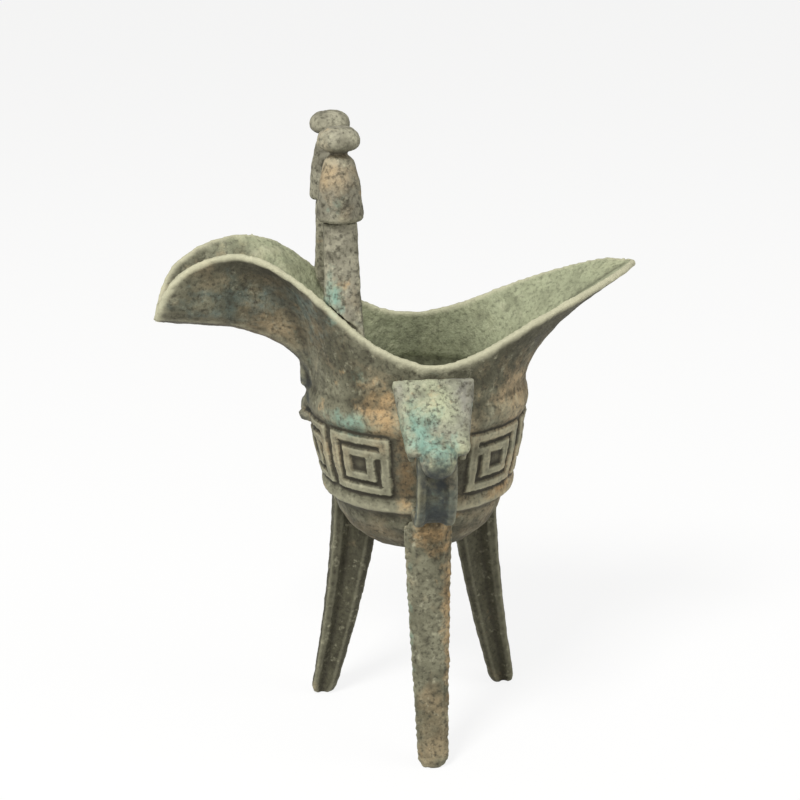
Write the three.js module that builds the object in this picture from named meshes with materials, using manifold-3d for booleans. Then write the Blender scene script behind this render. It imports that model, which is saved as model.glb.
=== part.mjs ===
// A three-legged bronze wine cup: a round bowl with an open spout and a pointed tail, two capped posts
// on the rim, a strap handle under a beast mask, and three splayed legs. Millimetres, +Z up.
import * as THREE from "three";
import { mergeVertices } from "three/addons/utils/BufferGeometryUtils.js";
import Module from "manifold-3d";

// Vessel
const WALL = 2.2;
const CLEARANCE = 0.3;
const BOTTOM_Z = 61.5;
const BOTTOM_FLAT_R = 9;
const LOWER_GROOVE_Z = 79.8;
const LOWER_GROOVE_R = 27.1;
const LOWER_MOULDING_R = 30.2;
const FRIEZE_BOTTOM_Z = 85.6;
const FRIEZE_BOTTOM_R = 29.4;
const FRIEZE_TOP_Z = 106.1;
const FRIEZE_TOP_R = 33;
const MOULDING_RISE = 1;
const MOULDING_HEIGHT = 8.4;
const FLARE_CURVE = 1.75;
const SPOUT_DROOP = 0.9;
const RIM_Z = 127.5;
const RIM_HALF_WIDTH = 33;
const SPOUT_REACH = 79.7;
const SPOUT_TIP_Z = 135.2;
const SPOUT_PEAK_Z = 157;
const SPOUT_HALF_WIDTH = 14;
const SPOUT_PEAK_X = 54;
const SPOUT_SHOULDER_X = 42;
const POST_SIDE_X = 29;
const WAIST_X = 15;
const TAIL_REACH = 68.4;
const TAIL_TIP_Z = 148.2;
const STATIONS = 60;
const FLARE_ROWS = 9;
// Flange under the spout
const FLANGE_THICK = 2.4;
const FLANGE_PROUD = 3.2;
const FLANGE_TEETH = [[103, 110], [113.5, 121]];
// Legs
const LEG_ANGLES = { leg_front: -90, leg_tail_side: 30, leg_spout_side: 150 };
const LEG_TOP_Z = 79;
const LEG_TOP_R = 28.6;
const LEG_FOOT_R = 39;
const LEG_TOP_WIDTH = 15.4;
const LEG_FOOT_WIDTH = 9.6;
const LEG_TOP_DEPTH = 17;
const LEG_FOOT_DEPTH = 8;
const FOOT_ROUND = 3;
const FOOT_PAD_SHARE = 0.6;
const LEG_ROWS = 10;
const LEG_SHOULDER = 3;
const LEG_SHOULDER_SET_BACK = 1.6;
const LEG_TENON_R = 2.4;
const LEG_TENON_LENGTH = 7;
const LEG_TENON_RADIUS_AT = 24;
// Handle
const STRAP_WIDTH = 11.6;
const STRAP_THICK = 3.6;
const STRAP_CHANNEL = 1.1;
const STRAP_REACH = 48.5;
const STRAP_TOP_Z = 118;
const STRAP_BOTTOM_Z = 83.4;
const LUG_R = 1.5;
const LUG_LENGTH = 3;
const LUG_DROP = 0.4;
const MASK_TOP_WIDTH = 24;
const MASK_BOTTOM_WIDTH = 18;
const MASK_THICK = 5;
const MASK_BEVEL = 1.2;
const BROW_R = 1.1;
const BROW_INSET = 3.4;
const HEAD_WIDTH = 17;
const MASK_TOP_Z = 122;
const SNOUT_Z = 104.5;
const SNOUT_R = 5.4;
const EAR_R = 2.8;
const EAR_SPREAD = 6.8;
// Posts and caps
const POST_X = -24.2;
const POST_BASE_Y = 24.2;
const POST_TOP_Y = 18.6;
const POST_BASE_Z = 134;
const CAP_BOTTOM_Z = 167.9;
const POST_BASE_WIDTH = 13.5;
const POST_TOP_WIDTH = 10.8;
const POST_DEPTH = 7.6;
const POST_TENON_R = 2.6;
const POST_TENON_LENGTH = 8;
const CAP_BOTTOM_R = 6.8;
const CAP_TOP_R = 4.3;
const CAP_HEIGHT = 18.5;
const NECK_R = 2.4;
const NECK_HEIGHT = 1.4;
const KNOB_R = 6.3;
const KNOB_HEIGHT = 7.2;
const ROUND_SIDES = 24;
const PEG_SIDES = 12;

const wasm = await Module();
wasm.setup();

// A closed mesh as a solid that can be joined and cut.
function solid(geometry) {
  const bare = geometry.index ? geometry.clone() : geometry;
  bare.deleteAttribute("normal");
  bare.deleteAttribute("uv");
  const merged = mergeVertices(bare, 1e-4);
  return new wasm.Manifold(
    new wasm.Mesh({
      numProp: 3,
      vertProperties: merged.attributes.position.array,
      triVerts: new Uint32Array(merged.index.array),
    }),
  );
}

// The largest body of a solid, which drops crumbs that a cut leaves.
function largest(made) {
  const bodies = made.decompose();
  return bodies.reduce((best, body) => (body.volume() > best.volume() ? body : best));
}

function geometryOf(made) {
  const mesh = made.getMesh();
  const geometry = new THREE.BufferGeometry();
  geometry.setAttribute("position", new THREE.BufferAttribute(mesh.vertProperties, 3));
  geometry.setIndex(new THREE.BufferAttribute(mesh.triVerts, 1));
  geometry.computeVertexNormals();
  return geometry;
}

// A closed skin over rings of points, each ring the same count, with a fan over each end.
function loft(rings) {
  const count = rings[0].length;
  const points = rings.flat();
  const faces = [];
  for (let row = 0; row + 1 < rings.length; row++) {
    for (let i = 0; i < count; i++) {
      const a = row * count + i;
      const b = row * count + ((i + 1) % count);
      faces.push(a, b, b + count, a, b + count, a + count);
    }
  }
  for (const [ring, turned] of [[0, true], [rings.length - 1, false]]) {
    const middle = new THREE.Vector3();
    rings[ring].forEach((p) => middle.addScaledVector(p, 1 / count));
    points.push(middle);
    for (let i = 0; i < count; i++) {
      const a = ring * count + i;
      const b = ring * count + ((i + 1) % count);
      faces.push(...(turned ? [b, a] : [a, b]), points.length - 1);
    }
  }
  const geometry = new THREE.BufferGeometry().setFromPoints(points);
  geometry.setIndex(faces);
  const made = solid(geometry);
  if (made.volume() > 0) return made;
  for (let i = 0; i < faces.length; i += 3) faces.splice(i, 2, faces[i + 1], faces[i]);
  geometry.setIndex(faces);
  return solid(geometry);
}

// A round peg from one point to another.
function peg(from, to, radius) {
  const along = new THREE.Vector3().subVectors(to, from);
  const geometry = new THREE.CylinderGeometry(radius, radius, along.length(), PEG_SIDES);
  const up = new THREE.Vector3(0, 1, 0);
  const direction = along.clone().normalize();
  geometry.applyQuaternion(new THREE.Quaternion().setFromUnitVectors(up, direction));
  const middle = from.clone().addScaledVector(along, 0.5);
  geometry.translate(middle.x, middle.y, middle.z);
  return solid(geometry);
}

// The rim's near half from the spout tip to the tail tip, as a smooth curve through its turning points.
const rim = new THREE.CatmullRomCurve3(
  [
    [-SPOUT_REACH, 0, SPOUT_TIP_Z],
    [-SPOUT_REACH + 1.2, 0.66 * SPOUT_HALF_WIDTH, SPOUT_TIP_Z + 3.5],
    [-SPOUT_REACH + 5, 0.9 * SPOUT_HALF_WIDTH, SPOUT_PEAK_Z - 9],
    [-SPOUT_REACH + 14, 0.94 * SPOUT_HALF_WIDTH, SPOUT_PEAK_Z - 2],
    [-SPOUT_PEAK_X, 1.1 * SPOUT_HALF_WIDTH, SPOUT_PEAK_Z],
    [-SPOUT_SHOULDER_X, 0.64 * RIM_HALF_WIDTH, SPOUT_PEAK_Z - 4],
    [-POST_SIDE_X, 0.78 * RIM_HALF_WIDTH, RIM_Z + 16],
    [-WAIST_X, 0.9 * RIM_HALF_WIDTH, RIM_Z + 5.4],
    [1, RIM_HALF_WIDTH, RIM_Z],
    [WAIST_X + 1, 0.9 * RIM_HALF_WIDTH, RIM_Z + 3],
    [0.5 * TAIL_REACH, 0.715 * RIM_HALF_WIDTH, RIM_Z + 10.3],
    [0.74 * TAIL_REACH, 0.52 * RIM_HALF_WIDTH, TAIL_TIP_Z - 4.5],
    [0.91 * TAIL_REACH, 0.28 * RIM_HALF_WIDTH, TAIL_TIP_Z - 0.8],
    [TAIL_REACH, 0, TAIL_TIP_Z],
  ].map((p) => new THREE.Vector3(...p)),
  false,
  "centripetal",
);

// The flare starts above the rounded moulding that tops the frieze.
const FLARE_Z = FRIEZE_TOP_Z + MOULDING_HEIGHT;
const FLARE_R = FRIEZE_TOP_R + 0.2;

// Radius and height of the bowl below the flare, from the bottom outwards.
const BELLY = [
  [BOTTOM_FLAT_R, BOTTOM_Z + 0.7],
  [LOWER_GROOVE_R - 10, BOTTOM_Z + 3.4],
  [LOWER_GROOVE_R - 4.6, BOTTOM_Z + 8],
  [LOWER_GROOVE_R - 1.3, LOWER_GROOVE_Z - 4.8],
  [LOWER_GROOVE_R, LOWER_GROOVE_Z],
  [LOWER_MOULDING_R, LOWER_GROOVE_Z + 1.4],
  [LOWER_MOULDING_R, FRIEZE_BOTTOM_Z - 1.6],
  [FRIEZE_BOTTOM_R, FRIEZE_BOTTOM_Z],
  [(FRIEZE_BOTTOM_R + FRIEZE_TOP_R) / 2 + 0.5, (FRIEZE_BOTTOM_Z + FRIEZE_TOP_Z) / 2],
  [FRIEZE_TOP_R, FRIEZE_TOP_Z],
  [FRIEZE_TOP_R + MOULDING_RISE, FRIEZE_TOP_Z + 1.4],
  [FRIEZE_TOP_R + MOULDING_RISE + 0.4, FRIEZE_TOP_Z + 0.5 * MOULDING_HEIGHT],
  [FRIEZE_TOP_R + MOULDING_RISE, FRIEZE_TOP_Z + MOULDING_HEIGHT - 1.2],
  [FLARE_R, FLARE_Z],
];

// The height of the bowl's underside at a radius, between the profile's points.
function bottomHeight(radius) {
  const next = BELLY.findIndex(([r]) => r > radius);
  const [r0, z0] = BELLY[next - 1];
  const [r1, z1] = BELLY[next];
  return z0 + ((z1 - z0) * (radius - r0)) / (r1 - r0);
}

// The rows of the outer wall, each ring starting at the spout and running round by the near side.
function wallRings() {
  const stations = [];
  for (let i = 0; i < STATIONS; i++) {
    const half = i / (STATIONS / 2);
    const near = half <= 1;
    const point = rim.getPoint(near ? half : 2 - half);
    stations.push(new THREE.Vector3(point.x, near ? -point.y : point.y, point.z));
  }
  const angles = stations.map((p) => Math.atan2(p.y, p.x));
  const onCircle = (r, a, z) => new THREE.Vector3(r * Math.cos(a), r * Math.sin(a), z);
  const rings = BELLY.map(([r, z]) => angles.map((a) => onCircle(r, a, z)));
  for (let row = 1; row <= FLARE_ROWS; row++) {
    rings.push(
      stations.map((p, i) => {
        const spoutness = Math.max(0, -Math.cos(angles[i])) ** 6;
        const rise = row / FLARE_ROWS;
        const out = (1 - (1 - rise) ** (1 / (1 + SPOUT_DROOP * spoutness))) ** FLARE_CURVE;
        const from = onCircle(FLARE_R, angles[i], FLARE_Z);
        return new THREE.Vector3(
          from.x + (p.x - from.x) * out,
          from.y + (p.y - from.y) * out,
          from.z + (p.z - from.z) * rise,
        );
      }),
    );
  }
  return rings;
}

// The wall's rings moved along the surface normal, outwards when the distance is positive.
function movedRings(rings, distance) {
  const last = rings.length - 1;
  return rings.map((ring, row) =>
    ring.map((p, i) => {
      const next = ring[(i + 1) % STATIONS];
      const before = ring[(i + STATIONS - 1) % STATIONS];
      const above = rings[Math.min(row + 1, last)][i];
      const below = rings[Math.max(row - 1, 0)][i];
      const round = new THREE.Vector3().subVectors(next, before);
      const upward = new THREE.Vector3().subVectors(above, below);
      const normal = round.cross(upward).normalize();
      return p.clone().addScaledVector(normal, distance);
    }),
  );
}

// The bowl: the outer wall, over the rim and down the inner wall, as one skin closed at both bottoms.
function shell(outward, inward, lift = 0) {
  const rings = wallRings();
  rings.at(-1).forEach((p) => (p.z += lift));
  return loft([...movedRings(rings, outward), ...movedRings(rings, -inward).reverse()]);
}

function flange() {
  return FLANGE_TEETH.map(([low, high]) => {
    const root = WALL / 2;
    const geometry = new THREE.BoxGeometry(FLANGE_PROUD + root, FLANGE_THICK, high - low);
    geometry.translate(-FRIEZE_TOP_R - (FLANGE_PROUD - root) / 2, 0, (low + high) / 2);
    return solid(geometry);
  });
}

function atAngle(radius, degrees, z) {
  const a = THREE.MathUtils.degToRad(degrees);
  return new THREE.Vector3(radius * Math.cos(a), radius * Math.sin(a), z);
}

// One leg's section: an outer plate with a rib behind it, as shares of its width and depth.
const LEG_SECTION = [
  [-0.5, -0.2], [-0.3, -0.03], [0, 0], [0.3, -0.03], [0.5, -0.2], [0.42, -0.36],
  [0.18, -0.44], [0.2, -0.88], [0, -1], [-0.2, -0.88], [-0.18, -0.44], [-0.42, -0.36],
];

function leg(degrees) {
  const rings = [];
  const outward = atAngle(1, degrees, 0);
  const across = new THREE.Vector3(-outward.y, outward.x, 0);
  const heights = [0, FOOT_ROUND / 3, FOOT_ROUND];
  const straight = LEG_TOP_Z - LEG_SHOULDER - FOOT_ROUND;
  for (let row = 1; row <= LEG_ROWS; row++) heights.push(FOOT_ROUND + (straight * row) / LEG_ROWS);
  heights.push(LEG_TOP_Z);
  for (const z of heights) {
    const down = 1 - z / LEG_TOP_Z;
    const pad = z < FOOT_ROUND ? FOOT_PAD_SHARE + (1 - FOOT_PAD_SHARE) * Math.sqrt(z / FOOT_ROUND) : 1;
    const setBack = z === LEG_TOP_Z ? LEG_SHOULDER_SET_BACK : 0;
    const face = LEG_TOP_R + (LEG_FOOT_R - LEG_TOP_R) * down ** 1.6 - setBack;
    const width = LEG_TOP_WIDTH + (LEG_FOOT_WIDTH - LEG_TOP_WIDTH) * down;
    const depth = LEG_TOP_DEPTH + (LEG_FOOT_DEPTH - LEG_TOP_DEPTH) * down;
    rings.push(
      LEG_SECTION.map(([t, r]) =>
        new THREE.Vector3(0, 0, z)
          .addScaledVector(outward, face + (-0.5 + (r + 0.5) * pad) * depth)
          .addScaledVector(across, t * pad * width),
      ),
    );
  }
  return loft(rings);
}

// A tenon under the bowl: it starts inside the wall and runs down into the leg's socket.
function legTenon(degrees, extra) {
  const wallMiddle = bottomHeight(LEG_TENON_RADIUS_AT) + WALL / 2;
  const top = atAngle(LEG_TENON_RADIUS_AT, degrees, wallMiddle);
  const low = top.clone().setZ(wallMiddle - LEG_TENON_LENGTH - extra);
  return peg(top, low, LEG_TENON_R + extra);
}

// The strap's middle line, in the upright plane through the bowl's axis: y outwards, z up.
const strapLine = new THREE.CatmullRomCurve3(
  [
    [FRIEZE_TOP_R - 1, STRAP_TOP_Z],
    [FRIEZE_TOP_R + 5.5, STRAP_TOP_Z - 2],
    [STRAP_REACH - 3.5, STRAP_TOP_Z - 9.5],
    [STRAP_REACH - STRAP_THICK / 2, (STRAP_TOP_Z + STRAP_BOTTOM_Z) / 2 - 2],
    [STRAP_REACH - 4, STRAP_BOTTOM_Z + 4],
    [FRIEZE_BOTTOM_R + 9, STRAP_BOTTOM_Z - 1],
    [FRIEZE_BOTTOM_R - 1.5, STRAP_BOTTOM_Z - 1],
  ].map(([y, z]) => new THREE.Vector3(0, -y, z)),
  false,
  "centripetal",
);

function strap(extra, channel) {
  const rings = [];
  const steps = 18;
  for (let i = 0; i <= steps; i++) {
    const p = strapLine.getPoint(i / steps);
    const along = strapLine.getTangent(i / steps);
    const outward = new THREE.Vector3(0, along.z, -along.y);
    const w = STRAP_WIDTH / 2 + extra;
    const t = STRAP_THICK / 2 + extra;
    const section = [
      [-w, -t], [w, -t], [w, t], [0.6 * w, t],
      [0.45 * w, t - channel], [-0.45 * w, t - channel], [-0.6 * w, t], [-w, t],
    ];
    rings.push(section.map(([x, o]) => new THREE.Vector3(x, 0, 0).add(p).addScaledVector(outward, o)));
  }
  return loft(rings);
}

// The beast mask: a sloping forehead plate, brow ridges, two ears and a round snout.
function mask() {
  const run = STRAP_REACH - FRIEZE_TOP_R - MASK_THICK;
  const drop = MASK_TOP_Z - SNOUT_Z;
  const lean = Math.atan2(run, drop);
  const length = Math.hypot(run, drop);
  const plate = new THREE.Shape();
  plate.moveTo(-MASK_TOP_WIDTH / 2, length / 2);
  plate.lineTo(-MASK_BOTTOM_WIDTH / 2, -length / 2);
  plate.lineTo(MASK_BOTTOM_WIDTH / 2, -length / 2);
  plate.lineTo(MASK_TOP_WIDTH / 2, length / 2);
  const face = new THREE.ExtrudeGeometry(plate, {
    depth: MASK_THICK - 2 * MASK_BEVEL,
    bevelThickness: MASK_BEVEL,
    bevelSize: MASK_BEVEL,
    bevelOffset: -MASK_BEVEL,
    bevelSegments: 3,
  });
  face.translate(0, 0, MASK_BEVEL);
  const seated = (geometry) => {
    geometry.rotateX(Math.PI / 2 - lean);
    geometry.translate(0, -(STRAP_REACH + FRIEZE_TOP_R - 1) / 2, (MASK_TOP_Z + SNOUT_Z) / 2 + 1.5);
    return solid(geometry);
  };
  let made = seated(face);
  for (const side of [-1, 1]) {
    const brow = new THREE.CapsuleGeometry(BROW_R, length * 0.6, 3, 8);
    brow.rotateZ(side * -0.14);
    brow.translate(side * (MASK_TOP_WIDTH / 2 - BROW_INSET), 1, MASK_THICK - 0.3);
    made = made.add(seated(brow));
    const ear = new THREE.SphereGeometry(EAR_R, 12, 8);
    ear.translate(side * EAR_SPREAD, -length / 2 + 0.6, MASK_THICK * 0.6);
    made = made.add(seated(ear));
  }
  const profile = new THREE.Shape(
    [
      [FRIEZE_TOP_R + 1, MASK_TOP_Z - 1],
      [FRIEZE_TOP_R + 6, MASK_TOP_Z + 0.5],
      [STRAP_REACH - 0.5, SNOUT_Z + 3],
      [STRAP_REACH - 2, SNOUT_Z - 1.5],
      [FRIEZE_TOP_R + 7, SNOUT_Z + 2],
      [FRIEZE_TOP_R + 1, SNOUT_Z + 9],
    ].map(([y, z]) => new THREE.Vector2(y, z)),
  );
  const head = new THREE.ExtrudeGeometry(profile, { depth: HEAD_WIDTH, bevelEnabled: false });
  head.translate(0, 0, -HEAD_WIDTH / 2);
  head.applyMatrix4(
    new THREE.Matrix4().makeBasis(
      new THREE.Vector3(0, -1, 0), new THREE.Vector3(0, 0, 1), new THREE.Vector3(-1, 0, 0),
    ),
  );
  made = made.add(solid(head));
  const snout = new THREE.SphereGeometry(SNOUT_R, 16, 12);
  snout.translate(0, -STRAP_REACH - 0.5, SNOUT_Z);
  return made.add(solid(snout));
}

// A post: a rounded column that stands astride the rim and leans in towards its cap.
function post(side) {
  const rings = [];
  const rows = 5;
  for (let row = 0; row <= rows; row++) {
    const up = row / rows;
    const y = side * (POST_TOP_Y + (POST_BASE_Y - POST_TOP_Y) * (1 - up) ** 1.5);
    const width = POST_TOP_WIDTH + (POST_BASE_WIDTH - POST_TOP_WIDTH) * (1 - up) ** 2;
    const ring = [];
    for (let i = 0; i < ROUND_SIDES / 2; i++) {
      const a = (4 * Math.PI * i) / ROUND_SIDES;
      const corner = 0.92 / Math.max(Math.abs(Math.cos(a)), Math.abs(Math.sin(a))) ** 0.6;
      ring.push(
        new THREE.Vector3(
          POST_X + (corner * Math.cos(a) * width) / 2,
          y + (corner * Math.sin(a) * POST_DEPTH) / 2,
          POST_BASE_Z + (CAP_BOTTOM_Z - CLEARANCE - POST_BASE_Z) * up,
        ),
      );
    }
    rings.push(ring);
  }
  const foot = new THREE.Vector3(POST_X, side * POST_TOP_Y, CAP_BOTTOM_Z - 3);
  const top = foot.clone().setZ(CAP_BOTTOM_Z + POST_TENON_LENGTH);
  return loft(rings).add(peg(foot, top, POST_TENON_R));
}

// A bonnet cap with its knob, hollowed for the post's tenon.
function cap(side) {
  const top = CAP_BOTTOM_Z + CAP_HEIGHT;
  const knob = top + NECK_HEIGHT;
  const socketR = POST_TENON_R + CLEARANCE;
  const socketTop = CAP_BOTTOM_Z + POST_TENON_LENGTH + CLEARANCE;
  const profile = [
    [0, socketTop], [socketR, socketTop], [socketR, CAP_BOTTOM_Z], [CAP_BOTTOM_R - 0.8, CAP_BOTTOM_Z],
    [CAP_BOTTOM_R, CAP_BOTTOM_Z + 1], [CAP_BOTTOM_R - 0.2, CAP_BOTTOM_Z + 4],
    [(CAP_BOTTOM_R + CAP_TOP_R) / 2 + 0.3, CAP_BOTTOM_Z + 0.6 * CAP_HEIGHT], [CAP_TOP_R, top - 1.2],
    [CAP_TOP_R - 1, top], [NECK_R, top + 0.3], [NECK_R, knob], [0.72 * KNOB_R, knob + 0.04 * KNOB_HEIGHT],
    [0.95 * KNOB_R, knob + 0.2 * KNOB_HEIGHT], [KNOB_R, knob + 0.42 * KNOB_HEIGHT],
    [0.93 * KNOB_R, knob + 0.68 * KNOB_HEIGHT], [0.62 * KNOB_R, knob + 0.91 * KNOB_HEIGHT],
    [0, knob + KNOB_HEIGHT],
  ];
  const geometry = new THREE.LatheGeometry(profile.map(([r, z]) => new THREE.Vector2(r, z)), ROUND_SIDES);
  geometry.rotateX(Math.PI / 2);
  geometry.translate(POST_X, side * POST_TOP_Y, 0);
  return solid(geometry);
}

const bronze = (colour, roughness) =>
  new THREE.MeshStandardMaterial({ color: colour, roughness, metalness: 0.35 });
const patina = bronze("#7d7c66", 0.75);
const darkPatina = bronze("#4c4a39", 0.8);

const cup = new THREE.Group();
function place(name, made, material) {
  const mesh = new THREE.Mesh(geometryOf(largest(made)), material);
  mesh.name = name;
  cup.add(mesh);
}

const clear = shell(CLEARANCE, WALL + CLEARANCE, 2 * CLEARANCE);

// The two lugs that the strap is cast onto, each from inside the wall to its tip.
const lug = (rootR, wallR, z) => [
  new THREE.Vector3(0, -rootR, z),
  new THREE.Vector3(0, -wallR - LUG_LENGTH, z),
];
const lugs = [
  lug(FRIEZE_TOP_R, FRIEZE_TOP_R, STRAP_TOP_Z - LUG_DROP),
  lug(LOWER_MOULDING_R - WALL, LOWER_MOULDING_R, STRAP_BOTTOM_Z - 1),
];

let vessel = shell(0, WALL);
flange().forEach((tooth) => (vessel = vessel.add(tooth)));
Object.values(LEG_ANGLES).forEach((degrees) => (vessel = vessel.add(legTenon(degrees, 0))));
lugs.forEach(([from, to]) => (vessel = vessel.add(peg(from, to, LUG_R))));
place("vessel", vessel, patina);

for (const [name, degrees] of Object.entries(LEG_ANGLES)) {
  place(name, leg(degrees).subtract(clear).subtract(legTenon(degrees, CLEARANCE)), darkPatina);
}

let handle = strap(0, STRAP_CHANNEL).subtract(clear);
lugs.forEach(([from, to]) => {
  const end = to.clone().setY(to.y - CLEARANCE);
  handle = handle.subtract(peg(from, end, LUG_R + CLEARANCE));
});
place("handle_strap", handle, darkPatina);
place("handle_mask", mask().subtract(strap(CLEARANCE, 0)).subtract(clear), patina);

for (const [name, side] of [["near", -1], ["far", 1]]) {
  place("post_" + name, post(side).subtract(clear), patina);
  place("post_cap_" + name, cap(side), patina);
}

// The whole cup stands with its box's bottom centre at the origin.
const box = new THREE.Box3().setFromObject(cup);
const middle = box.getCenter(new THREE.Vector3());
cup.position.set(-middle.x, -middle.y, -box.min.z);

export default cup;
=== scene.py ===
# A three-legged bronze wine cup with an aged patina, dressed over its solid model. Metres.
import math

import bpy
import numpy as np
from mathutils import Matrix, Vector, noise as fractal


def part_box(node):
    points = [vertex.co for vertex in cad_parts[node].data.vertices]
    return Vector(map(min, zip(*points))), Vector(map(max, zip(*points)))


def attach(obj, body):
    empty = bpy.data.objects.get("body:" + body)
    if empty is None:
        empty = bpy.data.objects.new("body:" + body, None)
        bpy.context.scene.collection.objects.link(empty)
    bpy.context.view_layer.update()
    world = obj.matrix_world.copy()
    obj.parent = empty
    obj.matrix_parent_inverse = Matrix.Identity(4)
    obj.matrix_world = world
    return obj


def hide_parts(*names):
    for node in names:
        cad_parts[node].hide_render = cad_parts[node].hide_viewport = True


MM = 0.001
# The camera of the photograph, fitted to the cup's main sizes.
VIEW_AZIMUTH = -6.14
VIEW_ELEVATION = 17.39
VIEW_ROLL = -0.49
VIEW_DISTANCE = 488.9 * MM
VIEW_TARGET = (0.23 * MM, 10.03 * MM, 107.57 * MM)
SENSOR_WIDTH = 36.0
FOCAL_SHARE = 1577 / 800  # focal length as a share of the picture's width

# Colours of the finish, as seen in daylight; the brown, the cream and the blue-black also paint shade and highlight.
OLIVE = "#7b7963"
OLIVE_DARK = "#4f4d3a"
# Brown of soil grains, also the painted shade in grooves, on the frieze ground and under overhangs.
DIRT_AND_SHADE_BROWN = "#2e2a1c"
# Pale of worn bronze, also the painted highlight on edges and the rim lip.
WEAR_AND_HIGHLIGHT_CREAM = "#c9c6a8"
BUFF_TAN = "#b29c78"
OCHRE = "#b8986a"
MALACHITE = "#7b9e8e"
TEAL_GREY = "#5f7672"
# Blue-black of the painted shade under the snout, the strap and the spout.
SHADE_BLUE_BLACK = "#22292c"
PALE_INSIDE = "#a8ad8c"
MASK_CREAM = "#a5a98a"
MASK_GREY = "#7e7c70"
STRAP_TEAL = "#56625b"
POST_CREAM = "#9d9984"
POST_GREY = "#7b7766"
DARK_LEG = "#403e2d"
FLOOR_GREY = "#e9e8e5"


# The frieze of squared spirals between the two mouldings, in millimetres on the bowl's wall.
BOWL_AXIS = (5.65, 10.03)
FRIEZE_LOW = 86.2
FRIEZE_HIGH = 105.6
FRIEZE_RADIUS = 31.5
LIP_LOW = 124.0
FRIEZE_WALL = 4.0
PANEL_PITCH = 42.0
FIRST_PANEL = 40.0
HANDLE_ANGLE = -90.0
FRAME_HALF = 9.4
LINE_WIDTH = 2.8
RING_HALF = 5.2
RELIEF = 0.9
RIPPLE = 0.1
RIPPLE_PITCH = 2.4
CONVEX_SCALE = 0.3
FINE_STEP = {"vessel": 0.85}
USUAL_STEP = 0.5
# Rounds of smoothing: the mask is the most worn of the castings.
SOFTENING = {"handle_mask": 9}
USUAL_SOFTENING = 2

PATCH_SHARE = 0.85
# Deposits that stand alone: colour, centre from the bowl's axis and reach, in millimetres.
PATCHES = [
    (BUFF_TAN, (26, -16, 114), (13, 14, 13)),
    (BUFF_TAN, (-50, 14, 146), (16, 8, 9)),
    (OCHRE, (-15, -31, 113), (8, 8, 8)),
    (OCHRE, (-7, -31, 95), (3, 7, 17)),
    (BUFF_TAN, (27, -14, 90), (9, 12, 8)),
    (OCHRE, (22, -20, 83), (5, 6, 3)),
    (OCHRE, (3, -31, 75), (7, 8, 7)),
    (OCHRE, (6.5, -33, 50), (3, 8, 26)),
    (TEAL_GREY, (-50, -18, 140), (24, 11, 10)),
    (MALACHITE, (-27, -25, 147), (2.6, 5, 8)),
    (MALACHITE, (-5, -45, 113), (6, 9, 8)),
    (MALACHITE, (0, -51, 108), (6, 7, 5)),
    (MALACHITE, (-7, -35, 45), (1.9, 8, 26)),
    (MALACHITE, (-24, -25, 109), (9, 8, 4)),
]
# Painted shade patches, laid last so they lie over the worn edges too: under the snout and its chin, at the strap's
# foot, and on the body below the spout.
PAINTED_SHADE_PATCHES = [
    (SHADE_BLUE_BLACK, (0, -53, 100.5), (10, 12, 6.5)),
    (SHADE_BLUE_BLACK, (0, -47, 97), (4, 7, 5)),
    (SHADE_BLUE_BLACK, (0, -46, 85), (5.5, 9, 7)),
    (SHADE_BLUE_BLACK, (-38, 0, 111), (8, 7, 16)),
]


def linear(code):
    """An sRGB hex colour as linear RGBA."""
    parts = [int(code[i : i + 2], 16) / 255 for i in (1, 3, 5)]
    return [c / 12.92 if c <= 0.04045 else ((c + 0.055) / 1.055) ** 2.4 for c in parts] + [1.0]


def add(tree, kind, settings=None, **links):
    """A node of the given kind; a setting goes to an attribute, a link to the input of that name."""
    node = tree.nodes.new(kind)
    for name, value in (settings or {}).items():
        setattr(node, name, value)
    for name, value in links.items():
        key = name.replace("_", " ").strip()
        socket = node.inputs[int(key[1:])] if key[1:].isdigit() else node.inputs[key]
        if isinstance(value, bpy.types.NodeSocket):
            tree.links.new(value, socket)
        else:
            socket.default_value = value
    return node


def noise(tree, coords, size_mm, detail=4.0):
    """Noise whose largest blotches are about size_mm across."""
    node = add(tree, "ShaderNodeTexNoise", Vector=coords, Scale=1000.0 / size_mm, Detail=detail, Roughness=0.6)
    return node.outputs["Fac"]


def between(tree, value, low, high):
    """The value stretched so that low becomes 0 and high becomes 1."""
    node = add(tree, "ShaderNodeMapRange", Value=value)
    node.inputs["From Min"].default_value = low
    node.inputs["From Max"].default_value = high
    return node.outputs["Result"]


def blended(tree, under, over, share):
    """The colour over laid on the colour under, by share."""
    node = tree.nodes.new("ShaderNodeMixRGB")
    for socket, value in zip(node.inputs, (share, under, over)):
        if isinstance(value, bpy.types.NodeSocket):
            tree.links.new(value, socket)
        else:
            socket.default_value = value
    return node.outputs["Color"]


def mark(tree, name, share):
    """One of the surface's own measures, such as how far it faces down for painted shade, times a share."""
    value = add(tree, "ShaderNodeAttribute", {"attribute_name": name}).outputs["Fac"]
    return add(tree, "ShaderNodeMath", {"operation": "MULTIPLY", "use_clamp": True}, i0=value, i1=share).outputs[0]


def patch(tree, coords, centre, reach):
    """A ragged patch about a point, both in millimetres, from 1 at its middle to 0 at its edge; it lays both deposits
    and painted shade.
    """
    place = [centre[0] + BOWL_AXIS[0], centre[1] + BOWL_AXIS[1], centre[2]]
    offset = add(tree, "ShaderNodeVectorMath", {"operation": "SUBTRACT"}, i0=coords, i1=[v * MM for v in place])
    size = [1 / (r * MM) for r in reach]
    scaled = add(tree, "ShaderNodeVectorMath", {"operation": "MULTIPLY"}, i0=offset.outputs[0], i1=size)
    far = add(tree, "ShaderNodeVectorMath", {"operation": "LENGTH"}, i0=scaled.outputs[0]).outputs["Value"]
    ragged = add(tree, "ShaderNodeMath", {"operation": "MULTIPLY_ADD"}, i0=noise(tree, coords, 4, 8.0), i1=3.0, i2=far)
    share = between(tree, ragged.outputs[0], 2.7, 1.7)
    return add(tree, "ShaderNodeMath", {"operation": "MULTIPLY"}, i0=share, i1=PATCH_SHARE).outputs[0]


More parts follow.
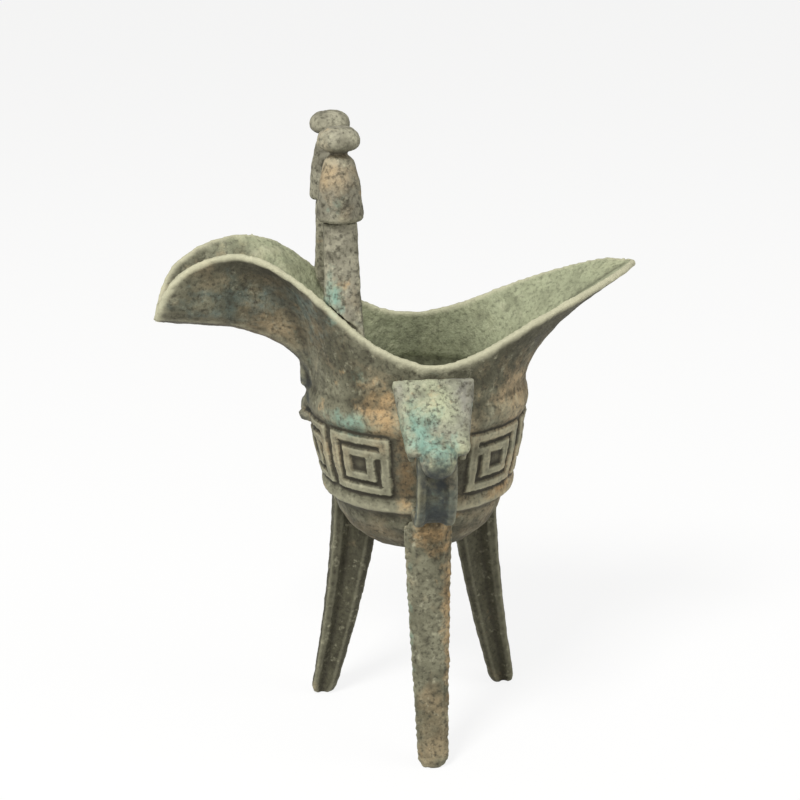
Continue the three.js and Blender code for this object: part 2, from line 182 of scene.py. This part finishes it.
def patinated_bronze(name, base, shade, green=0.3, tan=0.4):
    """Cast bronze under a dry burial patina: matte, blotched, pitted, and pale where it is worn, with painted shade in
    hollows, on the frieze ground and underneath, and painted highlight on edges and the rim.
    """
    material = bpy.data.materials.new(name)
    material.use_nodes = True
    tree = material.node_tree
    tree.nodes.clear()
    coords = add(tree, "ShaderNodeTexCoord").outputs["Object"]
    colour = blended(tree, linear(base), linear(shade), between(tree, noise(tree, coords, 22), 0.42, 0.62))
    colour = blended(tree, colour, linear(BUFF_TAN), between(tree, noise(tree, coords, 31, 6.0), 0.62 - 0.2 * tan, 0.75))
    colour = blended(tree, colour, linear(OCHRE), between(tree, noise(tree, coords, 9, 8.0), 0.64, 0.80))
    colour = blended(tree, colour, linear(MALACHITE), between(tree, noise(tree, coords, 13, 8.0), 0.72 - 0.2 * green, 0.86))
    for patch_colour, centre, reach in PATCHES:
        colour = blended(tree, colour, linear(patch_colour), patch(tree, coords, centre, reach))
    colour = blended(tree, colour, linear(PALE_INSIDE), mark(tree, "inside", 0.75))
    green_mottle = between(tree, noise(tree, coords, 7, 6.0), 0.5, 0.68)
    green_inside = add(tree, "ShaderNodeMath", {"operation": "MULTIPLY"}, i0=green_mottle, i1=mark(tree, "inside", 0.4))
    colour = blended(tree, colour, linear(OLIVE_DARK), green_inside.outputs[0])
    for size, low, high, tone, share in (
        (6.0, 0.46, 0.70, DIRT_AND_SHADE_BROWN, 0.6),
        (1.3, 0.48, 0.66, DIRT_AND_SHADE_BROWN, 0.8),
        (2.8, 0.42, 0.26, WEAR_AND_HIGHLIGHT_CREAM, 0.42),
    ):
        grains = between(tree, noise(tree, coords, size, 9.0), low, high)
        grains = add(tree, "ShaderNodeMath", {"operation": "MULTIPLY"}, i0=grains, i1=share).outputs[0]
        colour = blended(tree, colour, linear(tone), grains)
    colour = blended(tree, colour, linear(PALE_INSIDE), mark(tree, "inside", 0.35))
    # Painted shade on the frieze ground between the raised lines.
    colour = blended(tree, colour, linear(DIRT_AND_SHADE_BROWN), mark(tree, "ground", 0.55))
    # Painted shade on faces turned downward.
    colour = blended(tree, colour, linear(DIRT_AND_SHADE_BROWN), mark(tree, "painted_shade_below", 0.75))
    edge = add(tree, "ShaderNodeAttribute", {"attribute_name": "convex"}).outputs["Fac"]
    # Painted shade in creases and grooves, where the surface is sunk.
    colour = blended(tree, colour, linear(DIRT_AND_SHADE_BROWN), between(tree, edge, -0.1, -0.8))
    # Pale on convex edges: partly wear, partly painted highlight.
    wear_and_highlight = add(tree, "ShaderNodeMath", {"operation": "MULTIPLY"}, i0=between(tree, edge, 0.18, 1.2), i1=0.45).outputs[0]
    colour = blended(tree, colour, linear(WEAR_AND_HIGHLIGHT_CREAM), wear_and_highlight)
    # Paler still on the rim lip: partly wear, partly painted highlight.
    colour = blended(tree, colour, linear(WEAR_AND_HIGHLIGHT_CREAM), mark(tree, "lip", 0.38))
    # Painted shade patches, laid over all the colour above.
    for patch_colour, centre, reach in PAINTED_SHADE_PATCHES:
        colour = blended(tree, colour, linear(patch_colour), patch(tree, coords, centre, reach))
    grain = noise(tree, coords, 0.9, 5.0)
    lumps = noise(tree, coords, 4.0, 4.0)
    bump = add(tree, "ShaderNodeBump", Strength=0.8, Distance=0.4 * MM, Height=grain)
    bump = add(tree, "ShaderNodeBump", Strength=0.6, Distance=0.7 * MM, Height=lumps, Normal=bump.outputs["Normal"])
    shader = add(tree, "ShaderNodeBsdfPrincipled", Normal=bump.outputs["Normal"], Metallic=0.15)
    tree.links.new(colour, shader.inputs["Base Color"])
    rough = between(tree, noise(tree, coords, 6), 0.2, 0.8)
    spread = add(tree, "ShaderNodeMapRange", Value=rough)
    spread.inputs["To Min"].default_value = 0.58
    spread.inputs["To Max"].default_value = 0.86
    tree.links.new(spread.outputs["Result"], shader.inputs["Roughness"])
    output = add(tree, "ShaderNodeOutputMaterial")
    tree.links.new(shader.outputs["BSDF"], output.inputs["Surface"])
    return material


def make_camera():
    azimuth, elevation, roll = (math.radians(v) for v in (VIEW_AZIMUTH, VIEW_ELEVATION, VIEW_ROLL))
    back = Vector((math.sin(azimuth) * math.cos(elevation), -math.cos(azimuth) * math.cos(elevation), math.sin(elevation)))
    right = Vector((math.cos(azimuth), math.sin(azimuth), 0))
    up = back.cross(right)
    turned_right = right * math.cos(roll) + up * math.sin(roll)
    turned_up = up * math.cos(roll) - right * math.sin(roll)
    data = bpy.data.cameras.new("camera")
    data.sensor_width = SENSOR_WIDTH
    data.lens = SENSOR_WIDTH * FOCAL_SHARE
    data.clip_start = 0.01
    camera = bpy.data.objects.new("camera", data)
    turn = Matrix((turned_right, turned_up, back)).transposed().to_4x4()
    camera.matrix_world = Matrix.Translation(Vector(VIEW_TARGET) + back * VIEW_DISTANCE) @ turn
    bpy.context.scene.collection.objects.link(camera)
    bpy.context.scene.camera = camera


def make_floor():
    bpy.ops.mesh.primitive_plane_add(size=60, location=(0, 0, 0))
    floor = bpy.context.object
    floor.name = "floor"
    material = bpy.data.materials.new("pale matte floor")
    material.use_nodes = True
    shader = material.node_tree.nodes["Principled BSDF"]
    shader.inputs["Base Color"].default_value = linear(FLOOR_GREY)
    shader.inputs["Roughness"].default_value = 0.9
    tree = material.node_tree
    glow = add(tree, "ShaderNodeEmission", Color=linear("#ffffff"), Strength=1.0)
    seen = add(tree, "ShaderNodeMixShader")
    path = add(tree, "ShaderNodeLightPath")
    share = add(tree, "ShaderNodeMath", {"operation": "MULTIPLY"}, i1=0.85)
    tree.links.new(path.outputs["Is Camera Ray"], share.inputs[0])
    tree.links.new(share.outputs[0], seen.inputs[0])
    tree.links.new(shader.outputs[0], seen.inputs[1])
    tree.links.new(glow.outputs[0], seen.inputs[2])
    tree.links.new(seen.outputs[0], tree.nodes["Material Output"].inputs["Surface"])
    floor.data.materials.append(material)


def make_light(name, place, size, watts):
    data = bpy.data.lights.new(name, "AREA")
    data.size = size
    data.energy = watts
    light = bpy.data.objects.new(name, data)
    light.location = place
    light.rotation_euler = (Vector((0, 0, 0.1)) - Vector(place)).to_track_quat("-Z", "Y").to_euler()
    bpy.context.scene.collection.objects.link(light)


def make_world():
    world = bpy.data.worlds.new("studio")
    bpy.context.scene.world = world
    world.use_nodes = True
    tree = world.node_tree
    light = tree.nodes["Background"]
    light.inputs["Color"].default_value = linear("#eeeeec")
    light.inputs["Strength"].default_value = 0.52
    backdrop = add(tree, "ShaderNodeBackground", Color=linear("#ffffff"), Strength=1.0)
    seen = add(tree, "ShaderNodeMixShader")
    path = add(tree, "ShaderNodeLightPath")
    tree.links.new(path.outputs["Is Camera Ray"], seen.inputs[0])
    tree.links.new(light.outputs[0], seen.inputs[1])
    tree.links.new(backdrop.outputs[0], seen.inputs[2])
    tree.links.new(seen.outputs[0], tree.nodes["World Output"].inputs["Surface"])


def soft_step(value, edge, width):
    return np.clip((value - edge) / width + 0.5, 0, 1)


def band(value, low, high, width=0.5):
    return soft_step(value, low, width) * (1 - soft_step(value, high, width))


def frieze_height(points):
    """Height of the raised lines over the wall at each point, in millimetres."""
    x, y, z = (points / MM).T
    x, y = x - BOWL_AXIS[0], y - BOWL_AXIS[1]
    radius = np.hypot(x, y)
    angle = (np.degrees(np.arctan2(y, x)) - HANDLE_ANGLE + 180) % 360 - 180
    turned = np.abs(angle) - FIRST_PANEL
    panel = np.clip(np.round(turned / PANEL_PITCH), 0, 3)
    u = np.radians(turned - panel * PANEL_PITCH) * FRIEZE_RADIUS
    v = z - (FRIEZE_LOW + FRIEZE_HIGH) / 2
    square = np.maximum(np.abs(u) * 0.92, np.abs(v))
    lines = np.maximum(
        band(square, FRAME_HALF - LINE_WIDTH, FRAME_HALF),
        band(square, RING_HALF - LINE_WIDTH, RING_HALF),
    )
    hook = band(u, -FRAME_HALF + 1, -RING_HALF + 1) * band(v, RING_HALF - LINE_WIDTH, RING_HALF)
    lines = np.maximum(lines, hook)
    wall = FRIEZE_RADIUS + (v / (FRIEZE_HIGH - FRIEZE_LOW)) * 3.6
    outside = (radius > wall - 1.2) & (radius < wall + FRIEZE_WALL) & (np.abs(v) < 10.2)
    return np.where(outside, lines, 0) * RELIEF


def ring_means(values, edges, count, rounds):
    """Each vertex's value averaged with its neighbours, a number of times."""
    degree = np.bincount(edges.ravel(), minlength=count)[:, None]
    for _ in range(rounds):
        total = np.zeros_like(values)
        np.add.at(total, edges[:, 0], values[edges[:, 1]])
        np.add.at(total, edges[:, 1], values[edges[:, 0]])
        values = (values + total) / (degree + 1)
    return values


def fine_piece(name, finish):
    """The cast surface of one solid: an even fine mesh with softened edges, relief, lumps and pits."""
    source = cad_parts[name]
    rough = bpy.data.objects.new("rough_" + name, source.data.copy())
    bpy.context.scene.collection.objects.link(rough)
    weld = rough.modifiers.new("weld", "WELD")
    weld.merge_threshold = 0.01 * MM
    remesh = rough.modifiers.new("remesh", "REMESH")
    remesh.mode = "VOXEL"
    remesh.voxel_size = FINE_STEP.get(name, USUAL_STEP) * MM
    evaluated = rough.evaluated_get(bpy.context.evaluated_depsgraph_get())
    mesh = bpy.data.meshes.new_from_object(evaluated)
    bpy.data.objects.remove(rough)
    count = len(mesh.vertices)
    points = np.empty(count * 3)
    mesh.vertices.foreach_get("co", points)
    points = points.reshape(-1, 3)
    edges = np.empty(len(mesh.edges) * 2, dtype=np.int64)
    mesh.edges.foreach_get("vertices", edges)
    edges = edges.reshape(-1, 2)
    points = ring_means(points, edges, count, SOFTENING.get(name, USUAL_SOFTENING))
    mesh.vertices.foreach_set("co", points.ravel())
    mesh.update()
    normals = np.array([v.normal[:] for v in mesh.vertices])
    relief = frieze_height(points) if name == "vessel" else np.zeros(count)
    shape = points + normals * relief[:, None] * MM
    broad = ring_means(shape, edges, count, 7)
    convex = np.einsum("ij,ij->i", shape - broad, normals) / (CONVEX_SCALE * MM)
    lumps = np.array([fractal.fractal(Vector(p) * 260, 0.9, 2.1, 4) for p in points])
    pits = np.array([fractal.noise(Vector(p) * 900) for p in points])
    lift = 0.2 * lumps - 0.35 * np.clip(pits - 0.3, 0, 1)
    if name == "leg_front":
        lift = lift + RIPPLE * np.sin(2 * np.pi * (points[:, 2] / MM + 1.5 * lumps) / RIPPLE_PITCH)
    points = shape + normals * lift[:, None] * MM
    low, high = (np.array(corner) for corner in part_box(name))
    points = np.clip(points, low, high)
    mesh.vertices.foreach_set("co", points.ravel())
    across = points[:, :2] - np.array(BOWL_AXIS) * MM
    facing = np.einsum("ij,ij->i", across, normals[:, :2]) / np.maximum(np.hypot(*across.T), MM)
    inside = np.clip(-facing * 2, 0, 1) if name == "vessel" else np.zeros(count)
    height = points[:, 2] / MM
    in_band = (height > FRIEZE_LOW) & (height < FRIEZE_HIGH) & (facing > 0.3)
    # The frieze ground between raised lines, darkened in the shader as painted shade.
    ground = (in_band & (relief < 0.3 * RELIEF)) * 1.0 if name == "vessel" else np.zeros(count)
    marks = {
        # How far a point stands out: the shader paints shade where it is sunk and partly highlight where it stands out.
        "convex": np.clip(convex, -1, 2),
        "inside": inside,
        "ground": ground,
        # Painted shade: how far a face turns downward, outside the bowl's inside.
        "painted_shade_below": np.clip(-normals[:, 2], 0, 1) * (1 - inside),
        # Rim lip made pale in the shader: partly wear, partly painted highlight.
        "lip": np.clip(convex * 1.5 - 0.3, 0, 1) * (height > LIP_LOW) if name == "vessel" else np.zeros(count),
    }
    for mark, values in marks.items():
        mesh.attributes.new(mark, "FLOAT", "POINT").data.foreach_set("value", values)
    mesh.polygons.foreach_set("use_smooth", np.ones(len(mesh.polygons), dtype=bool))
    mesh.materials.clear()
    mesh.materials.append(finish)
    mesh.update()
    piece = bpy.data.objects.new("cast_" + name, mesh)
    bpy.context.scene.collection.objects.link(piece)
    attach(piece, "root")
    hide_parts(name)


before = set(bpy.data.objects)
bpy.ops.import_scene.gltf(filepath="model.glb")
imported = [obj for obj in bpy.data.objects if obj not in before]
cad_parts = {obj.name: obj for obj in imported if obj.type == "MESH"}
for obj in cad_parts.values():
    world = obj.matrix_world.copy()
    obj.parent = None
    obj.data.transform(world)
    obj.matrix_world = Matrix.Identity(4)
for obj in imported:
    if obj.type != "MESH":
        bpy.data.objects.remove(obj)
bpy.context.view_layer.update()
make_camera()
make_floor()
make_world()
make_light("key", (-0.6, -0.8, 1.3), 0.45, 25)
make_light("fill", (1.1, -0.5, 0.8), 0.9, 5)
bpy.context.scene.view_settings.view_transform = "Standard"

finishes = {
    "olive": patinated_bronze("olive patina on cast bronze", OLIVE, OLIVE_DARK, green=0.2, tan=0.6),
    "mask": patinated_bronze("mask patina on cast bronze", MASK_CREAM, MASK_GREY, green=0.6, tan=0.2),
    "post": patinated_bronze("pale post patina on cast bronze", POST_CREAM, POST_GREY, green=0.2, tan=0.2),
    "strap": patinated_bronze("strap patina on cast bronze", STRAP_TEAL, OLIVE_DARK, green=0.3, tan=0.1),
    # The spout-side and tail-side legs take a darker copy of the olive finish.
    "dark": patinated_bronze("darker olive finish on cast bronze", OLIVE_DARK, DARK_LEG, green=0.2, tan=0.2),
}
FINISH_OF = {
    "handle_mask": "mask",
    "handle_strap": "strap",
    "leg_spout_side": "dark",
    "leg_tail_side": "dark",
    "post_near": "post",
    "post_far": "post",
    "post_cap_near": "post",
    "post_cap_far": "post",
}
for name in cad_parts:
    fine_piece(name, finishes[FINISH_OF.get(name, "olive")])
